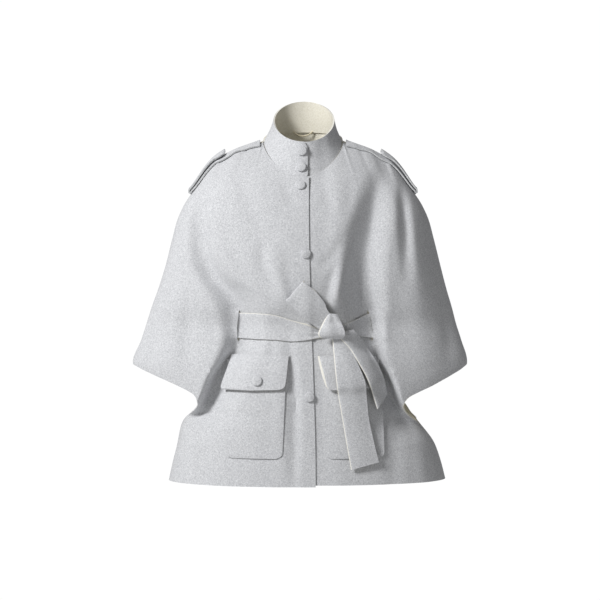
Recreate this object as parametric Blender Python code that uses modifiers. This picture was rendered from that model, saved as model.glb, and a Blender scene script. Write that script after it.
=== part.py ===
"""Wool cape coat: a double-faced wool cape worn hollow, with a stand collar, shoulder
straps, patch pockets and a tie belt threaded through slits in the fronts.

Modelled in millimetres and written out in metres. X runs across the coat, the front
faces -Y, Z is up, and the origin is the base of the neck, where the wearer carries it.
"""

import math

import bmesh
import bpy
import numpy as np
from mathutils import Matrix, Vector
from mathutils.bvhtree import BVHTree

# ---- driving dimensions, mm ----
WALL = 2.0  # one layer of double-faced wool
COLLAR_WALL = 3.0
SEAM_GAP = 0.3  # between pieces that are sewn together
LAY_GAP = 0.4  # between a piece and the panel that it lies on
NECK_HALF_WIDTH = 78.0
NECK_FRONT = 88.0
NECK_BACK = 68.0
NECK_SLOPE = 0.55  # of the neckline at the shoulders, rising towards the back
NECK_CURVE_FRONT = 0.0039
NECK_CURVE_BACK = 0.0025
NECK_EDGE_LEVEL = -79.0  # of the neckline at the front edges
RIM_LEVEL = 43.0
RIM_SLOPE = 0.7  # of the rim, rising towards the back
RIM_DROP = 7.0  # of its end in front
RIM_SHIFT = 2.0
COLLAR_HOLLOW = 2.5  # of its sides between the seam and the rim
COLLAR_SINK = 1.0  # its foot below the neckline
RIM_HALF_WIDTH = 61.0
RIM_FRONT = 74.0
RIM_BACK = 62.0
COLLAR_OVER = 9.0  # the collar's upper end reaches this far past the centre
COLLAR_UNDER = 24.0  # and its lower end this far under it
COLLAR_RISES = (1.0, 0.66, 0.33, 0.0)
OVERLAP_EDGE = 14.0  # the upper front reaches this far past the centre at the chest
OVERLAP_GAIN = 10.0  # and this much further at the hem
HEM_LEVEL = -676.0
UNDERLAP_EDGE = -12.0
TUCK = 2.8  # how far behind the upper front the lower one lies
NECK_TUCK = 6.8  # the same at the neckline, where the collar's end lies between them
TUCK_LEVELS = (-125.0, -80.0)  # it grows to that between these
TUCK_REACH = (38.0, 68.0)  # and dies out between these distances from the centre
CHEST_LEVEL = -150.0
SLIT_TOP = -337.0
SLIT_FOOT = -399.0
BELT_THICK = 2.2
BELT_HALF_HEIGHT = 25.0
BELT_LEVEL = -368.0
WAIST_HALF_WIDTH = 152.0
WAIST_FRONT = 118.0  # of the round that the belt follows from the slits to the sides
WAIST_BACK = 104.0
SLIT_INSET = 0.5  # the belt leaves the body's cloth this far inside its slits
SLIT_LEVEL = 3.5  # runs on level this far past it
SLIT_PASS = 8.0  # and is on the round of the waist this far outside them
FRONT_STATIONS = 18
BACK_STATIONS = 22
KNOT_GAP = -0.3  # its lowest points before it is rounded
BUTTON_RADIUS = 9.6
BUTTON_HEIGHT = 4.5
NECK_EASE = 3.0  # from the collar's outside to the edge of the panels round it
LIP_GAP = 3.0  # room for the belt between the two lips of its slit
STRAP_HALF_WIDTH = 23.0
STRAP_THICK = 3.2
STRAP_START = 84.0
STRAP_FOLD = 219.0
STRAP_TIP = 150.0
STRAP_SPRING = 4.5  # how far its free end springs up
NECK_COLUMNS = 5
SHOULDER_COLUMNS = 7
COLUMNS = NECK_COLUMNS + SHOULDER_COLUMNS
SLIT_COLUMN = 5
TOP_ROWS = 5
POCKET_BULGE = 3.0
POCKET_CORNER = 6.0
FLAP_LIFT = 4.0
FLAP_CORNER = 4.0
LOOP_RADIUS = 1.3
LOOP_HALF_WIDTH = 19.0
LOOP_SAG = 9.0
WOOL = ((0.62, 0.63, 0.65), 0.92)  # linear colour and roughness of the outside
COLOURS = {
    "back": ((0.6, 0.61, 0.63), 0.92),
    "hanging_loop": ((0.78, 0.74, 0.66), 0.8),
}
LEFT = -1  # the wearer's right, which buttons over
RIGHT = 1


class Table:
    """Rows of numbers under named columns, read by a smooth curve down the first one."""

    def __init__(self, names, rows):
        self.names = names.split()
        self.rows = np.array(sorted(rows), float)

    def read(self, name, at):
        keys = self.rows[:, 0]
        values = self.rows[:, self.names.index(name)]
        if at <= keys[0]:
            return float(values[0])
        if at >= keys[-1]:
            return float(values[-1])
        slopes = np.gradient(values, keys)
        k = int(np.searchsorted(keys, at, side="right")) - 1
        span = keys[k + 1] - keys[k]
        t = (at - keys[k]) / span
        start = (1 + 2 * t) * (1 - t) ** 2 * values[k] + t * (1 - t) ** 2 * span * slopes[k]
        end = t * t * (3 - 2 * t) * values[k + 1] + t * t * (t - 1) * span * slopes[k + 1]
        return float(start + end)


# Half widths to the overarm and side seams, depths at the centre lines, and how square
# each level section is. Levels are heights above the neck.
FORM = Table(
    "z left right front back square",
    [
        (26, 75, 75, 0, 71, 2.2),
        (-3, 81, 81, 10, 87, 2.2),
        (-9, 104, 104, 20, 90, 2.3),
        (-17, 126, 126, 30, 94, 2.3),
        (-26, 148, 148, 40, 98, 2.3),
        (-42, 172, 172, 57, 103, 2.3),
        (-56, 186, 186, 69, 107, 2.3),
        (-72, 198, 198, 82, 111, 2.3),
        (-88, 209, 209, 92, 115, 2.3),
        (-104, 221, 221, 100, 118, 2.3),
        (-118, 232, 232, 106, 120, 2.2),
        (-150, 248, 248, 116, 123, 2.1),
        (-198, 262, 262, 125, 126, 1.9),
        (-246, 274, 274, 129, 127, 1.8),
        (-300, 291, 288, 127, 127, 1.7),
        (-330, 302, 297, 121, 127, 1.65),
        (-368, 314, 307, 108, 127, 1.6),
        (-396, 323, 316, 111, 127, 1.6),
        (-446, 340, 328, 120, 128, 1.6),
        (-496, 306, 302, 126, 130, 1.7),
        (-530, 262, 266, 128, 131, 1.9),
        (-566, 242, 243, 130, 132, 2.1),
        (-610, 253.5, 266, 132, 134, 2.1),
        (-640, 261, 276.5, 134, 136, 2.1),
        (-676, 268, 284, 136, 137, 2.1),
    ],
)

# The cut edge below each wing corner: along the wing's hem, round the notch of the arm
# opening, down the side seam. One grid row ends on each point.
SIDE_CUT = [
    # left_x, left_z, right_x, right_z
    (340, -446, 328, -446),
    (316, -457, 311, -457),
    (289, -468, 286, -470),
    (262, -479, 256, -485),
    (236, -490, 226, -498),
    (214, -502, 206, -508),
    (207, -514, 197, -519),
    (206, -524, 196, -530),
    (214, -535, 208, -545),
    (231, -548, 226, -558),
    (243, -566, 242, -574),
    (252, -608, 262, -602),
    (260, -640, 275, -638),
    (268, -676, 284, -673),
]
SEAM_TOP_ROW = 10  # row of SIDE_CUT where the side seam starts

# Levels of the rows between the chest and the wing corner.
BODY_LEVELS = (-190, -230, -268, -300, -322, SLIT_TOP, -343, -368, -393, SLIT_FOOT, -420)

# The deep valley on each side between the body and the wing, through the belt slit:
# where it runs, how deep it lies, and how far it reaches towards and away from the
# centre front.
LEFT_VALLEY = Table(
    "z x depth inner outer",
    [
        (-84, 190, 0, 30, 24),
        (-138, 203, 9, 34, 26),
        (-175, 202, 12, 36, 28),
        (-218, 196, 17, 40, 34),
        (-248, 185, 21, 44, 40),
        (-276, 170, 24, 52, 46),
        (-300, 146, 26, 58, 52),
        (-337, 124, 27, 60, 50),
        (-368, 124, 28, 60, 44),
        (-399, 127, 31, 62, 34),
        (-430, 142, 38, 66, 28),
        (-473, 166, 46, 72, 25),
        (-517, 187, 42, 76, 22),
        (-552, 204, 20, 76, 30),
        (-600, 222, 0, 76, 30),
    ],
)
RIGHT_VALLEY = Table(
    "z x depth inner outer",
    [
        (-50, 156, 0, 34, 34),
        (-118, 140, 13, 42, 44),
        (-156, 131, 20, 46, 50),
        (-205, 121, 26, 50, 52),
        (-240, 117, 29, 52, 52),
        (-290, 118, 30, 54, 50),
        (-337, 125, 30, 56, 44),
        (-368, 130, 30, 58, 34),
        (-399, 135, 32, 60, 26),
        (-430, 142, 37, 62, 24),
        (-470, 158, 43, 66, 23),
        (-521, 178, 42, 70, 21),
        (-560, 198, 16, 72, 30),
        (-600, 216, 0, 72, 30),
    ],
)
# Smaller folds of the fronts: a crease inside the right wing, the pleat under the belt
# and the two soft ridges that run down from the bust.
RIGHT_WING_CREASE = Table(
    "z x depth inner outer",
    [(-80, 194, 0, 16, 16), (-150, 196, 7, 18, 20), (-240, 200, 6, 20, 22), (-300, 204, 0, 20, 22)],
)
BELT_PLEAT = Table(
    "z x depth inner outer",
    [(-385, 20, 0, 14, 16), (-415, 17, 5, 14, 18), (-500, 12, 4, 14, 20), (-580, 9, 0, 14, 20)],
)
LEFT_BUST_FOLD = Table(
    "z x depth inner outer",
    [(-200, 60, 0, 26, 26), (-270, 52, -5, 26, 30), (-320, 40, -6, 24, 28), (-345, 34, 0, 24, 28)],
)
RIGHT_BUST_FOLD = Table(
    "z x depth inner outer",
    [(-210, 88, 0, 24, 22), (-270, 74, -6, 22, 24), (-320, 62, -7, 20, 24), (-345, 56, 0, 20, 24)],
)
BACK_FOLD = Table(
    "z x depth inner outer",
    [(-150, 92, 0, 40, 40), (-300, 104, 9, 44, 46), (-480, 122, 14, 48, 52), (-676, 138, 17, 52, 58)],
)
# The belt over the fronts, from the left slit to the right one: level of its middle and
# half its height, which gathers in towards the knot.
BELT_FRONT = Table(
    "x level half",
    [
        (-124, -367.5, 24),
        (-90, -369, 24.5),
        (-56, -371, 24),
        (-20, -378, 20),
        (5, -381, 15),
        (34, -382, 8),
        (62, -377, 10),
        (79, -377, 12),
        (100, -373, 16),
        (130, -368, 24),
    ],
)
KNOT = (52, -366, 21, 26, 22)  # middle x and z, half width, half height, depth
# Lengths of belt, a row at a time: one edge, the other edge, and the lift of the outside
# off the front beneath.
LOOP_ROWS = [
    # x0, z0, x1, z1, lift
    (27, -361, 43, -339, -1.4),
    (0, -346, 36, -315, 0.0),
    (-15, -335, 20, -297, 0.6),
    (-31, -320, 0, -284, 1.0),
    (-34, -318, 1, -281, 4.5),
    (-31, -320, 0, -284, 8.0),
    (-15, -335, 20, -297, 11.0),
    (0, -346, 36, -315, 13.0),
    (23, -358, 40, -335, 13.0),
]
LONG_TAIL_ROWS = [
    (57, -397, 76, -395, 2.0),
    (59, -423, 92, -425, 3.0),
    (63, -470, 112, -474, 4.0),
    (67, -500, 117, -506, 3.0),
    (73, -533, 123, -543, 2.0),
    (81, -580, 133, -587, -0.5),
    (92, -643, 143, -630, 1.0),
]
SHORT_TAIL_ROWS = [
    (67, -399, 81, -388, 0.5),
    (80, -417, 98, -402, 1.0),
    (101, -446, 120, -434, 1.5),
    (113, -476, 134, -464, 2.0),
    (135, -529, 156, -501, 5.0),
]
# Each pocket, its flap and its button. Corners: upper left, upper right, lower left,
# lower right.
POCKETS = (
    (
        "right",
        ((-149, -441), (-32, -441), (-149, -622), (-40, -622)),
        ((-139, -424), (-28, -424), (-158, -494), (-36, -490)),
        (-88, -473),
    ),
    (
        "left",
        ((36, -441), (150, -441), (42, -622), (156, -622)),
        ((31, -426), (142, -428), (46, -492), (156, -488)),
        (93, -473),
    ),
)
HIDDEN_BUTTON = (10, -372)  # behind the belt
FRONT_BUTTONS = ((-5, -96), (5, -229), HIDDEN_BUTTON, (12, -504))
COLLAR_BUTTON_ANGLE = math.asin(4.5 / NECK_HALF_WIDTH)
COLLAR_BUTTON_RISES = (0.74, 0.28)
BACK_NOTCH = {LEFT: -8, RIGHT: 7}  # how far the back's edge passes the front's there
VALLEYS = {LEFT: LEFT_VALLEY, RIGHT: RIGHT_VALLEY}
FRONT_FOLDS = {
    LEFT: (LEFT_VALLEY, BELT_PLEAT, LEFT_BUST_FOLD),
    RIGHT: (RIGHT_VALLEY, RIGHT_WING_CREASE, RIGHT_BUST_FOLD),
}


def smooth(value, low, high):
    """0 at low and 1 at high, which may be the lesser."""
    t = min(max((value - low) / (high - low), 0.0), 1.0)
    return t * t * (3 - 2 * t)


def half_width(side, z):
    return FORM.read("left" if side == LEFT else "right", z)


def section(depth, width, square, out):
    """Depth of a level section of the coat at a distance from its centre line."""
    ratio = min(abs(out) / width, 1.0)
    return depth * (1 - ratio**square) ** (1 / square)


def fold(table, out, z):
    keys = table.rows[:, 0]
    if not keys[0] < z < keys[-1]:
        return 0.0
    offset = out - table.read("x", z)
    reach = table.read("outer" if offset > 0 else "inner", z)
    if abs(offset) >= reach:
        return 0.0
    return table.read("depth", z) * math.cos(offset / reach * math.pi / 2) ** 2


def front_depth(x, z):
    """Y of the outside of the fronts. The centre is flat where the fronts overlap."""
    side = LEFT if x < 0 else RIGHT
    out = abs(x)
    base = section(FORM.read("front", z), half_width(side, z), FORM.read("square", z), out)
    return sum(fold(table, out, z) for table in FRONT_FOLDS[side]) - base


def back_depth(x, z):
    side = LEFT if x < 0 else RIGHT
    out = abs(x)
    base = section(FORM.read("back", z), half_width(side, z), FORM.read("square", z), out)
    return base - fold(BACK_FOLD, out, z)


def neck_height(y):
    """Height of the neckline: low in front, high behind."""
    curve = NECK_CURVE_FRONT if y < 0 else NECK_CURVE_BACK
    return NECK_SLOPE * y - curve * y * y


def neck_point(angle, grow=0.0):
    """The neckline at an angle from the centre front, positive towards the left."""
    x = -(NECK_HALF_WIDTH + grow) * math.sin(angle)
    depth = NECK_FRONT if math.cos(angle) > 0 else NECK_BACK
    y = -(depth + grow) * math.cos(angle)
    return x, y, neck_height(-depth * math.cos(angle))


def shoulder_line():
    """Distances from the centre and heights along the shoulder seam, neck to tip."""
    levels = (-3, -9, -20, -38, -56, -75, -92, -110)
    return [(half_width(LEFT, z), z) for z in levels]


def side_levels(side):
    """Level of each row from the chest down, and how far out the row ends."""
    rows = [(CHEST_LEVEL, half_width(side, CHEST_LEVEL))]
    rows += [(z, half_width(side, z)) for z in BODY_LEVELS]
    for left_x, left_z, right_x, right_z in SIDE_CUT:
        rows.append((left_z, left_x) if side == LEFT else (right_z, right_x))
    return rows


def slit_track(side, z, limit):
    """Where the column through the belt slit runs: down the valley, then to its share."""
    leave = smooth(z, -552, HEM_LEVEL)
    share = (0.5 + 0.15 * leave) * limit
    follow = smooth(z, -200, -330) * (1 - leave)
    return share + (VALLEYS[side].read("x", z) - share) * follow


def edge_x(side, z):
    """Where the free front edge runs, measured out from the centre towards its side."""
    over = OVERLAP_EDGE + OVERLAP_GAIN * smooth(z, CHEST_LEVEL, HEM_LEVEL)
    return -over if side == LEFT else UNDERLAP_EDGE


def front_grid(side):
    """Outside points of one front, row by row, from its free edge to its side."""
    start = math.asin(edge_x(side, NECK_EDGE_LEVEL) / NECK_HALF_WIDTH)
    end = math.pi / 2
    top = []
    for column in range(NECK_COLUMNS + 1):
        angle = start + (end - start) * column / NECK_COLUMNS
        x, y, z = neck_point(angle, NECK_EASE)
        top.append((abs(x) * math.copysign(1, math.sin(angle)), y, z))
    top += [(out, 0.0, z) for out, z in shoulder_line()[1:]]
    rows = side_levels(side)
    grid = []
    for step in range(TOP_ROWS):
        t = step / TOP_ROWS
        line = []
        for column, (out, y, z) in enumerate(top):
            low = lower_out(side, column, *rows[0])
            height = z + (CHEST_LEVEL - z) * t
            width = half_width(side, height) if step else out
            reach = width if column == COLUMNS else min(out + (low - out) * t, width)
            if step:
                y = front_depth(side * reach, height)
            line.append((side * reach, y, height))
        grid.append(line)
    for z, limit in rows:
        line = []
        for column in range(COLUMNS + 1):
            out = lower_out(side, column, z, limit)
            line.append((side * out, front_depth(side * out, z), z))
        grid.append(line)
    return np.array(grid)


def lower_out(side, column, z, limit):
    """How far out a column lies at a level where the panel ends at the given limit."""
    edge = edge_x(side, z)
    slit = slit_track(side, z, limit)
    if column <= SLIT_COLUMN:
        return edge + (slit - edge) * column / SLIT_COLUMN
    t = (column - SLIT_COLUMN) / (COLUMNS - SLIT_COLUMN)
    return slit + (limit - slit) * math.sin(t * math.pi / 2)


def back_out(column, limit):
    return limit * math.sin(column / COLUMNS * math.pi / 2)


def back_grid():
    """Outside points of the back, row by row, from its left edge to its right."""
    top = []
    for column in range(NECK_COLUMNS + 1):
        angle = math.pi - math.pi / 2 * column / NECK_COLUMNS
        x, y, z = neck_point(angle, NECK_EASE)
        top.append((abs(x), y, z))
    top += [(out, 0.0, z) for out, z in shoulder_line()[1:]]
    halves = {}
    for side in (LEFT, RIGHT):
        rows = side_levels(side)
        half = []
        for step in range(TOP_ROWS):
            t = step / TOP_ROWS
            line = []
            for column, (out, y, z) in enumerate(top):
                low = back_out(column, half_width(side, CHEST_LEVEL))
                height = z + (CHEST_LEVEL - z) * t
                width = half_width(side, height) if step else out
                reach = width if column == COLUMNS else min(out + (low - out) * t, width)
                if step:
                    y = back_depth(side * reach, height)
                line.append((side * reach, y, height))
            half.append(line)
        other = side_levels(-side)
        for (z, limit), (other_z, _) in zip(rows, other):
            notch = smooth(z, -480, -520) * (1 - smooth(z, -530, -572))
            limit = limit + notch * BACK_NOTCH[side]
            middle = (z + other_z) / 2
            line = []
            for column in range(COLUMNS + 1):
                out = back_out(column, limit)
                height = middle + (z - middle) * column / COLUMNS
                line.append((side * out, back_depth(side * out, height), height))
            half.append(line)
        halves[side] = half
    grid = []
    for left, right in zip(halves[LEFT], halves[RIGHT]):
        grid.append(left[:0:-1] + right)
    return np.array(grid)


def grid_normals(grid):
    """Outward normals of a grid whose rows run down and columns run across."""
    across = np.gradient(grid, axis=1)
    down = np.gradient(grid, axis=0)
    normals = np.cross(down, across)
    return normals / np.linalg.norm(normals, axis=2, keepdims=True)


# ---- building ----


def clear_scene():
    for obj in list(bpy.data.objects):
        bpy.data.objects.remove(obj)
    for collection in list(bpy.data.collections):
        bpy.data.collections.remove(collection)


def make_material(name):
    """Each part has a material of its own, named for it."""
    colour, roughness = COLOURS.get(name, WOOL)
    material = bpy.data.materials.new(name)
    material.use_nodes = True
    shader = material.node_tree.nodes["Principled BSDF"]
    shader.inputs["Base Color"].default_value = (*colour, 1.0)
    shader.inputs["Roughness"].default_value = roughness
    shader.inputs["Metallic"].default_value = 0.0
    return material


def add_object(name, points, faces, parts):
    mesh = bpy.data.meshes.new(name)
    mesh.from_pydata([tuple(float(c) / 1000 for c in p) for p in points], [], faces)
    mesh.update()
    obj = bpy.data.objects.new(name, mesh)
    parts.objects.link(obj)
    return obj


def add_wall(obj, thickness, offset=-1.0):
    """Gives an open surface its wall, inwards from the outside face."""
    wall = obj.modifiers.new("Wall", "SOLIDIFY")
    wall.thickness = thickness / 1000
    wall.offset = offset
    return obj


def sheet_faces(rows, columns, flip=False):
    faces = []
    for i in range(rows - 1):
        for j in range(columns - 1):
            a = i * columns + j
            face = (a, a + columns, a + columns + 1, a + 1)
            faces.append(face[::-1] if flip else face)
    return faces


def add_sheet(name, grid, parts, thickness=WALL, flip=False):
    grid = np.asarray(grid)
    rows, columns = grid.shape[:2]
    faces = sheet_faces(rows, columns, flip)
    obj = add_object(name, grid.reshape(-1, 3), faces, parts)
    return add_wall(obj, thickness)


def tuck(x, z):
    """How far the lower front and the collar's lower end lie behind the upper ones."""
    depth = TUCK + (NECK_TUCK - TUCK) * smooth(z, *TUCK_LEVELS)
    return depth * (1 - smooth(x, *TUCK_REACH))


class Layers:
    """The outside of what is already made, which the next piece lies on."""

    def __init__(self):
        self.points = []
        self.faces = []
        self.tree = None

    def add(self, obj):
        mesh = obj.data
        start = len(self.points)
        self.points += [vert.co * 1000 for vert in mesh.vertices]
        self.faces += [[start + v for v in face.vertices] for face in mesh.polygons]
        self.tree = BVHTree.FromPolygons(self.points, self.faces)
        return obj

    def front(self, x, z, reach):
        """The foremost Y within reach of a place, seen from in front."""
        depths = []
        for dx in (-reach, 0, reach):
            for dz in (-reach, 0, reach):
                hit = self.tree.ray_cast(Vector((x + dx, -400, z + dz)), Vector((0, 1, 0)))[0]
                if hit is not None:
                    depths.append(hit.y)
        return min(depths)

    def top(self, x, y, reach):
        """The highest Z within reach of a place, seen from above."""
        heights = []
        for dx in (-reach, 0, reach):
            for dy in (-reach, 0, reach):
                hit = self.tree.ray_cast(Vector((x + dx, y + dy, 300)), Vector((0, 0, -1)))[0]
                if hit is not None:
                    heights.append(hit.z)
        return max(heights)


def laid_point(layers, x, z, lift, reach=5.0):
    """A point lifted off the layers beneath, along the normal of the front's cloth."""
    step = 2.0
    slope_x = (front_depth(x + step, z) - front_depth(x - step, z)) / (2 * step)
    slope_z = (front_depth(x, z + step) - front_depth(x, z - step)) / (2 * step)
    length = math.sqrt(1 + slope_x**2 + slope_z**2)
    y = layers.front(x, z, reach)
    return x + lift * slope_x / length, y - lift / length, z + lift * slope_z / length


def part_seams(grid, towards, shoulder, sides):
    """Moves a panel's seam edges off its neighbour, so that the walls stay a gap apart."""
    lean = np.minimum(np.abs(grid_normals(grid)[:, :, 1]) + 0.14, 1.0)
    side_lean = np.minimum(lean + 0.25, 1.0)
    joined = TOP_ROWS + len(BODY_LEVELS) + 1
    for column in shoulder:
        grid[0, column, 1] += towards * (WALL * lean[0, column] + SEAM_GAP)
    for row in range(1, len(grid)):
        if row <= joined or row >= joined + SEAM_TOP_ROW:
            for column in sides:
                grid[row, column, 1] = towards * (WALL * side_lean[row, column] + SEAM_GAP)


def add_front(side, name, parts):
    """A front panel with its belt slit: the wing's lip lies outside the belt."""
    grid = front_grid(side)
    if side == RIGHT:
        for row in grid:
            for point in row:
                point[1] += tuck(point[0], point[2])
    part_seams(grid, -1, range(NECK_COLUMNS, COLUMNS + 1), (COLUMNS,))
    rows, columns = grid.shape[:2]
    first = TOP_ROWS + 1 + BODY_LEVELS.index(SLIT_TOP) + 1
    points = [tuple(p) for p in grid.reshape(-1, 3)]
    lip = {}
    for row in range(first, first + 3):
        x, y, z = grid[row, SLIT_COLUMN]
        lip[row] = len(points)
        points.append((x, y - WALL - BELT_THICK - LIP_GAP, z))
    faces = []
    for i in range(rows - 1):
        for j in range(columns - 1):
            face = []
            for r, c in ((i, j), (i + 1, j), (i + 1, j + 1), (i, j + 1)):
                on_wing = c == j == SLIT_COLUMN and r in lip
                face.append(lip[r] if on_wing else r * columns + c)
            faces.append(tuple(face) if side == RIGHT else tuple(face[::-1]))
    return add_wall(add_object(name, points, faces, parts), WALL)


def add_back(parts):
    grid = back_grid()
    right_shoulder = range(COLUMNS + NECK_COLUMNS, 2 * COLUMNS + 1)
    left_shoulder = range(COLUMNS - NECK_COLUMNS + 1)
    part_seams(grid, 1, (*left_shoulder, *right_shoulder), (0, 2 * COLUMNS))
    return add_sheet("back", grid, parts, flip=True)


def collar_point(angle, rise):
    """The outside of the collar. Rise is 0 at the neck seam and 1 at the rim."""
    low = neck_point(angle)
    front = math.cos(angle) > 0
    depth = RIM_FRONT if front else RIM_BACK
    rim_y = -depth * math.cos(angle)
    rim_x = -RIM_HALF_WIDTH * math.sin(angle) + RIM_SHIFT
    end = 1 - smooth(angle, math.radians(-7), 0)
    rim_z = RIM_LEVEL + RIM_SLOPE * rim_y - RIM_DROP * end
    hollow = COLLAR_HOLLOW * math.sin(math.pi * rise)
    foot_z = low[2] - COLLAR_SINK
    x = low[0] + (rim_x - low[0]) * rise + hollow * math.sin(angle)
    y = low[1] + (rim_y - low[1]) * rise + hollow * math.cos(angle)
    z = foot_z + (rim_z - foot_z) * rise
    if angle > 1.5 * math.pi:
        y += tuck(low[0], NECK_EDGE_LEVEL)
    return x, y, z


def neck_angles(start, end):
    return [start + (end - start) * k / NECK_COLUMNS for k in range(NECK_COLUMNS + 1)]


def add_collar(parts):
    """One strip round the neck, its columns at those of the panels' necklines."""
    quarter = math.pi / 2
    upper = neck_angles(math.asin(edge_x(LEFT, NECK_EDGE_LEVEL) / NECK_HALF_WIDTH), quarter)
    under_end = math.asin(edge_x(RIGHT, NECK_EDGE_LEVEL) / NECK_HALF_WIDTH)
    lower = neck_angles(4 * quarter - under_end, 3 * quarter)
    angles = [math.asin(-COLLAR_OVER / NECK_HALF_WIDTH)]
    angles += upper[1:]
    angles += neck_angles(quarter, 2 * quarter)[1:]
    angles += neck_angles(2 * quarter, 3 * quarter)[1:]
    angles += lower[-2::-1]
    angles.append(4 * quarter + math.asin(COLLAR_UNDER / NECK_HALF_WIDTH))
    grid = [[collar_point(angle, rise) for angle in angles] for rise in COLLAR_RISES]
    return add_sheet("collar", grid, parts, COLLAR_WALL, flip=True)


def add_strap(side, name, layers, parts):
    """A shoulder strap sewn at the collar, folded back over itself at its outer end."""
    lift = LAY_GAP + STRAP_THICK / 2 + 0.7
    turn = STRAP_THICK / 2 + LAY_GAP + 1.2
    stations = [(STRAP_START + (STRAP_FOLD - STRAP_START) * k / 7, lift) for k in range(8)]
    for angle in (math.pi / 3, 2 * math.pi / 3):
        rise = lift + turn * (1 - math.cos(angle))
        stations.append((STRAP_FOLD + turn * math.sin(angle), rise))
    for k in range(6):
        out = STRAP_FOLD + (STRAP_TIP - STRAP_FOLD) * k / 5
        stations.append((out, lift + 2 * turn + STRAP_SPRING * k / 5))
    grid = []
    for out, rise in stations:
        held = min(out, STRAP_FOLD)
        ahead = layers.top(side * (held + 4), 0, 3)
        slope = (ahead - layers.top(side * (held - 4), 0, 3)) / 8
        length = math.hypot(1, slope)
        narrow = 0.72 if out == STRAP_TIP else 1.0
        line = []
        for share in (-1, -0.45, 0, 0.45, 1):
            y = STRAP_HALF_WIDTH * share * narrow
            z = layers.top(side * held, y, 2 if share == 0 else 3) + slope * (out - held)
            line.append((side * (out - rise * slope / length), y, z + rise / length))
        grid.append(line)
    obj = add_sheet(name, grid, parts, STRAP_THICK, flip=side == RIGHT)
    obj.modifiers["Wall"].offset = 0.0
    return obj


def add_belt_ring(layers, parts):
    """The belt round the waist: over the fronts, in at the slits, round inside the back."""
    left = SLIT_INSET - LEFT_VALLEY.read("x", BELT_LEVEL)
    right = RIGHT_VALLEY.read("x", BELT_LEVEL) - SLIT_INSET
    lift = LAY_GAP + BELT_THICK + 0.4
    grid = []
    for k in range(FRONT_STATIONS + 1):
        t = k / FRONT_STATIONS
        reach = min(3 * min(k, FRONT_STATIONS - k), 10)
        middle = right + (left - right) * t
        level = BELT_FRONT.read("level", middle)
        half = BELT_FRONT.read("half", middle)
        line = []
        for h in (1, 0, -1):
            z = level + half * h
            lean_right = RIGHT_VALLEY.read("x", z) - RIGHT_VALLEY.read("x", BELT_LEVEL)
            lean_left = LEFT_VALLEY.read("x", BELT_LEVEL) - LEFT_VALLEY.read("x", z)
            x = middle + lean_right * max(1 - 3 * t, 0) + lean_left * max(3 * t - 2, 0)
            line.append(laid_point(layers, x, z, lift, reach))
        grid.append(line)
    grid.insert(0, [(x + SLIT_LEVEL, y, z) for x, y, z in grid[0]])
    grid.append([(x - SLIT_LEVEL, y, z) for x, y, z in grid[-1]])
    start = math.pi + math.acos((SLIT_PASS - left) / WAIST_HALF_WIDTH)
    finish = -math.acos((SLIT_PASS + right) / WAIST_HALF_WIDTH)
    for k in range(BACK_STATIONS + 1):
        angle = start + (finish - start) * k / BACK_STATIONS
        depth = WAIST_FRONT if math.sin(angle) < 0 else WAIST_BACK
        x = WAIST_HALF_WIDTH * math.cos(angle)
        y = depth * math.sin(angle)
        grid.append([(x, y, BELT_LEVEL + BELT_HALF_HEIGHT * h) for h in (1, 0, -1)])
    count = len(grid)
    faces = []
    for i in range(count):
        for j in range(2):
            a = i * 3 + j
            b = (i + 1) % count * 3 + j
            faces.append((a, b, b + 1, a + 1))
    points = [point for line in grid for point in line]
    return add_wall(add_object("belt_band", points, faces, parts), BELT_THICK)


def add_strip(name, table, reach, layers, parts):
    """A flat length of belt between two edges, lifted off the layers that it lies on."""
    grid = []
    for x0, z0, x1, z1, lift in table:
        line = []
        for t in (0, 0.5, 1):
            x = x0 + (x1 - x0) * t
            z = z0 + (z1 - z0) * t
            line.append(laid_point(layers, x, z, LAY_GAP + BELT_THICK + lift, reach))
        grid.append(line)
    return add_sheet(name, grid, parts, BELT_THICK)


def add_knot(layers, parts):
    """The knot is one rounded lump of folded belt in front of the band."""
    x, z, half_x, half_z, depth = KNOT
    mesh = bmesh.new()
    bmesh.ops.create_cube(mesh, size=2.0)
    bmesh.ops.subdivide_edges(mesh, edges=mesh.edges[:], cuts=1, use_grid_fill=True)
    for vert in mesh.verts:
        across, out, up = vert.co
        px = x + half_x * across + 4 * up
        pz = z + half_z * up
        lift = KNOT_GAP + depth * (1 - out) / 2
        vert.co = [c / 1000 for c in laid_point(layers, px, pz, lift, 9)]
    data = bpy.data.meshes.new("belt_knot")
    mesh.to_mesh(data)
    mesh.free()
    obj = bpy.data.objects.new("belt_knot", data)
    parts.objects.link(obj)
    soft = obj.modifiers.new("Soft", "SUBSURF")
    soft.levels = 1
    soft.render_levels = 1
    return obj


def add_pocket(name, corners, layers, parts):
    """A patch pocket between its named corners, round at its two lower ones."""
    columns, rows = 6, 7
    grid = []
    for i in range(rows + 1):
        v = i / rows
        line = []
        for j in range(columns + 1):
            u = j / columns
            x, z = patch_point(corners, u, v)
            if i == rows and j in (0, columns):
                x += POCKET_CORNER * (1 if j == 0 else -1)
                z += POCKET_CORNER
            bulge = POCKET_BULGE * math.sin(math.pi * u) * math.sin(math.pi * v) ** 0.5
            line.append(laid_point(layers, x, z, LAY_GAP + WALL + bulge))
        grid.append(line)
    return add_sheet(name, grid, parts)


def patch_point(corners, u, v):
    """Inside four corners: upper left, upper right, lower left and lower right."""
    (ax, az), (bx, bz), (cx, cz), (dx, dz) = corners
    top = (ax + (bx - ax) * u, az + (bz - az) * u)
    foot = (cx + (dx - cx) * u, cz + (dz - cz) * u)
    return top[0] + (foot[0] - top[0]) * v, top[1] + (foot[1] - top[1]) * v


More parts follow.
